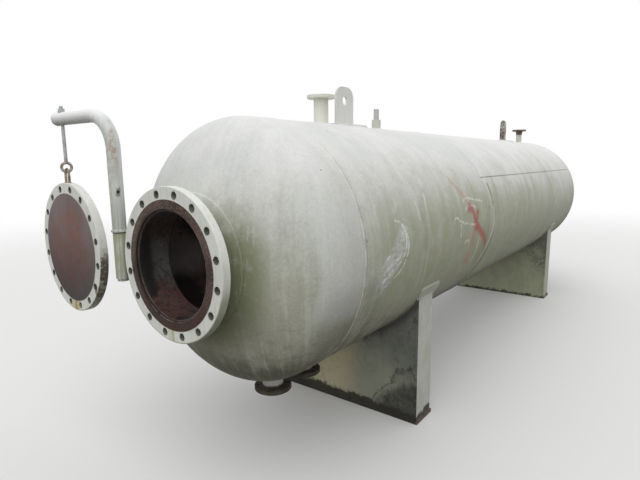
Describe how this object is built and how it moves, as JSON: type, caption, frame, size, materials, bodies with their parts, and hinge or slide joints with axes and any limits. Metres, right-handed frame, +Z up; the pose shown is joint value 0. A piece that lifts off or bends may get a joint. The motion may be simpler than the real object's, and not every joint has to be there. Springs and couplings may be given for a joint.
{
  "type": "three-phase separator",
  "caption": "Horizontal three-phase separator: dished-end pressure vessel on saddles with an open flanged manway, a davit-hung blind cover, lifting lugs and flanged nozzles.",
  "frame": {"origin": "on the ground, under the middle of the front saddle's base plate", "axes": "+X along the vessel, away from the manway; +Y toward the davit's side; +Z up"},
  "size_m": [5.434, 1.7041, 1.8986],
  "materials": {
    "vessel_paint": "weathered off-white paint, chalky, with algae and streaks on the lower half",
    "saddle_paint": "the vessel's off-white paint, dirtier near the ground",
    "manway_paint": "off-white paint on the rims, rust-brown bare gasket faces",
    "davit_paint": "light grey-white paint with green and rust streaks",
    "rusty_forging": "bare forging, dark brown with rust and dirt",
    "zinc_steel": "dull galvanised steel with rust",
    "dark_steel": "bare turned steel, brown oxide and grease"
  },
  "bodies": {
    "vessel": {"front_course": "vessel_paint", "rear_course": "vessel_paint", "front_head": "vessel_paint", "rear_head": "vessel_paint", "manway_pad": "vessel_paint", "manway_neck": "vessel_paint", "manway_flange": "manway_paint", "davit_bracket": "vessel_paint", "davit_sleeve": "davit_paint", "front_top_nozzle": "vessel_paint", "rear_top_flange": "rusty_forging", "rear_top_neck": "vessel_paint", "front_drain_nozzle": "rusty_forging", "rear_drain_nozzle": "rusty_forging", "half_coupling": "vessel_paint", "nipple": "zinc_steel", "front_lifting_lug": "vessel_paint", "rear_lifting_lug": "vessel_paint", "front_lug_pad": "vessel_paint", "rear_lug_pad": "vessel_paint", "front_wear_plate": "saddle_paint", "front_base_plate": "saddle_paint", "front_web": "saddle_paint", "front_middle_rib": "saddle_paint", "front_right_end_plate": "saddle_paint", "front_left_end_plate": "saddle_paint", "rear_wear_plate": "saddle_paint", "rear_base_plate": "saddle_paint", "rear_web": "saddle_paint", "rear_middle_rib": "saddle_paint", "rear_right_end_plate": "saddle_paint", "rear_left_end_plate": "saddle_paint"},
    "davit": {"davit_arm": "davit_paint", "davit_end_cap": "davit_paint", "davit_collar": "davit_paint", "davit_shaft": "dark_steel"},
    "cover": {"manway_cover": "manway_paint", "cover_bail": "manway_paint", "eyebolt": "zinc_steel", "eyebolt_washer": "zinc_steel", "eyebolt_nut": "zinc_steel"}
  },
  "joints": [
    {"name": "davit_swing", "type": "hinge", "parent": "vessel", "child": "davit", "pos_m": [-1.259, 0.387, 1.07], "axis": [0, 0, 1], "range_deg": [0, 169.01]},
    {"name": "cover_swivel", "type": "hinge", "parent": "davit", "child": "cover", "pos_m": [-1.28283, 0.7766, 1.07], "axis": [0, 0, 1], "range_deg": [0, 14.29]}
  ],
  "couplings": [
    {"joint": "cover_swivel", "follows": "davit_swing", "ratio": 0.084522}
  ]
}
